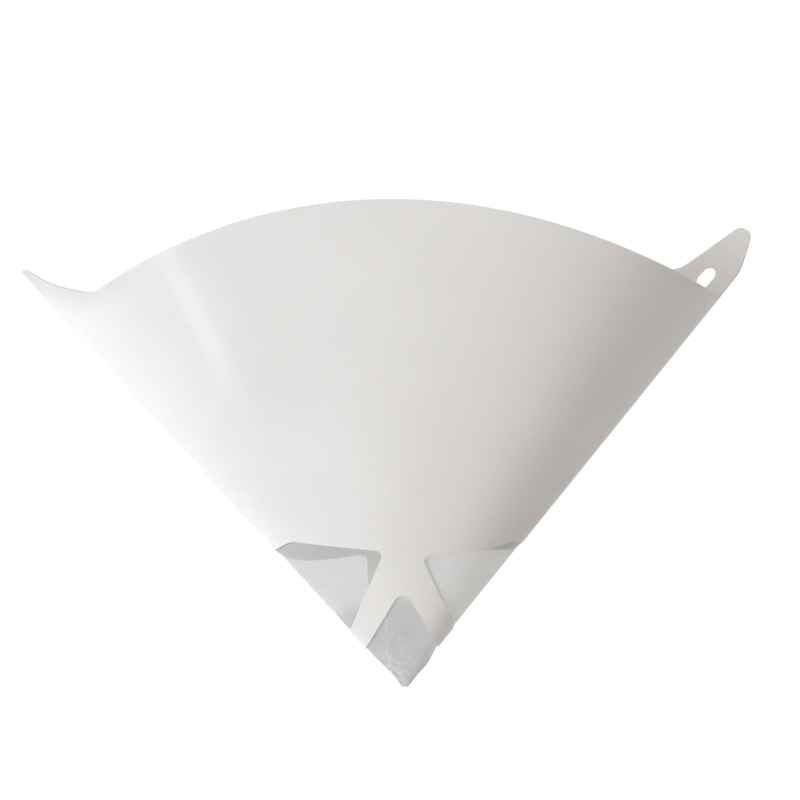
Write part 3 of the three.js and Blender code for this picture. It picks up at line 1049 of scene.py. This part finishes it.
camera_data = bpy.data.cameras.new("camera")
camera_data.lens = LENS
camera_data.sensor_width = SENSOR_WIDTH
camera_data.sensor_fit = "HORIZONTAL"
camera_data.clip_start = 0.01
camera_data.clip_end = 20
camera = bpy.data.objects.new("camera", camera_data)
bpy.context.collection.objects.link(camera)
camera.matrix_world = (
    Matrix.Translation(CAMERA_PLACE)
    @ Matrix.Rotation(math.radians(CAMERA_HEADING), 4, "Z")
    @ Matrix.Rotation(math.radians(90 + CAMERA_TILT), 4, "X")
    @ Matrix.Rotation(math.radians(CAMERA_ROLL), 4, "Z")
)
bpy.context.scene.camera = camera
bpy.context.scene.view_settings.view_transform = "Standard"

LAMP_TARGET = Vector((0, 0, -0.04))


def area_lamp(name, place, size, watts, colour):
    data = bpy.data.lights.new(name, "AREA")
    data.shape = "RECTANGLE"
    data.size, data.size_y = size
    data.energy = watts
    data.color = colour
    lamp = bpy.data.objects.new(name, data)
    bpy.context.collection.objects.link(lamp)
    lamp.location = place
    lamp.rotation_euler = (LAMP_TARGET - Vector(place)).to_track_quat("-Z", "Y").to_euler()


area_lamp("key", place=(-1.40, -0.72, 0.24), size=(0.7, 1.05), watts=22, colour=(0.93, 0.945, 1.0))
area_lamp("back_fill", place=(0.34, 1.28, 0.66), size=(1.2, 0.8), watts=9, colour=(1.0, 0.98, 0.95))

WORLD_LIGHT = (1, 0.94, 0.84, 1)
WORLD_STRENGTH = 0.365


def make_world():
    """A warm dim light on the object, and plain white where the camera looks past it."""
    world = bpy.data.worlds.new("world")
    bpy.context.scene.world = world
    n = Nodes(world)
    n.tree.nodes.clear()
    lit = n.node("Background")
    lit.inputs["Color"].default_value = WORLD_LIGHT
    lit.inputs["Strength"].default_value = WORLD_STRENGTH
    white = n.node("Background")
    white.inputs["Color"].default_value = (1, 1, 1, 1)
    white.inputs["Strength"].default_value = 1
    blend = n.node("MixShader")
    n.link(n.backdrop_rays(), blend.inputs[0])
    n.link(lit.outputs[0], blend.inputs[1])
    n.link(white.outputs[0], blend.inputs[2])
    n.link(blend.outputs[0], n.node("OutputWorld").inputs[0])


make_world()

FLOOR_DROP = 0.27
FLOOR_REACH = 6.0
FLOOR_COLOUR = (0.88, 0.88, 0.88, 1)
FLOOR_GLOW = 1.12
FLOOR_GLOW_SHARE = 0.85


def floor_material():
    """Pale and matt. Most of what the camera sees of it is a glow, which lights nothing."""
    n = MaterialNodes("floor")
    n.shader.inputs["Base Color"].default_value = FLOOR_COLOUR
    n.shader.inputs["Roughness"].default_value = 0.9
    glow = n.node("Emission")
    glow.inputs["Strength"].default_value = FLOOR_GLOW
    blend = n.node("MixShader")
    n.link(n.times(n.backdrop_rays(), FLOOR_GLOW_SHARE), blend.inputs[0])
    n.link(n.shader.outputs[0], blend.inputs[1])
    n.link(glow.outputs[0], blend.inputs[2])
    n.link(blend.outputs[0], n.output.inputs["Surface"])
    return n.material


floor_mesh = bpy.data.meshes.new("floor")
floor_corners = [
    (x * FLOOR_REACH, y * FLOOR_REACH, -FLOOR_DROP) for x, y in ((-1, -1), (1, -1), (1, 1), (-1, 1))
]
floor_mesh.from_pydata(floor_corners, [], [(0, 1, 2, 3)])
floor_mesh.materials.append(floor_material())
floor = bpy.data.objects.new("floor", floor_mesh)
bpy.context.collection.objects.link(floor)
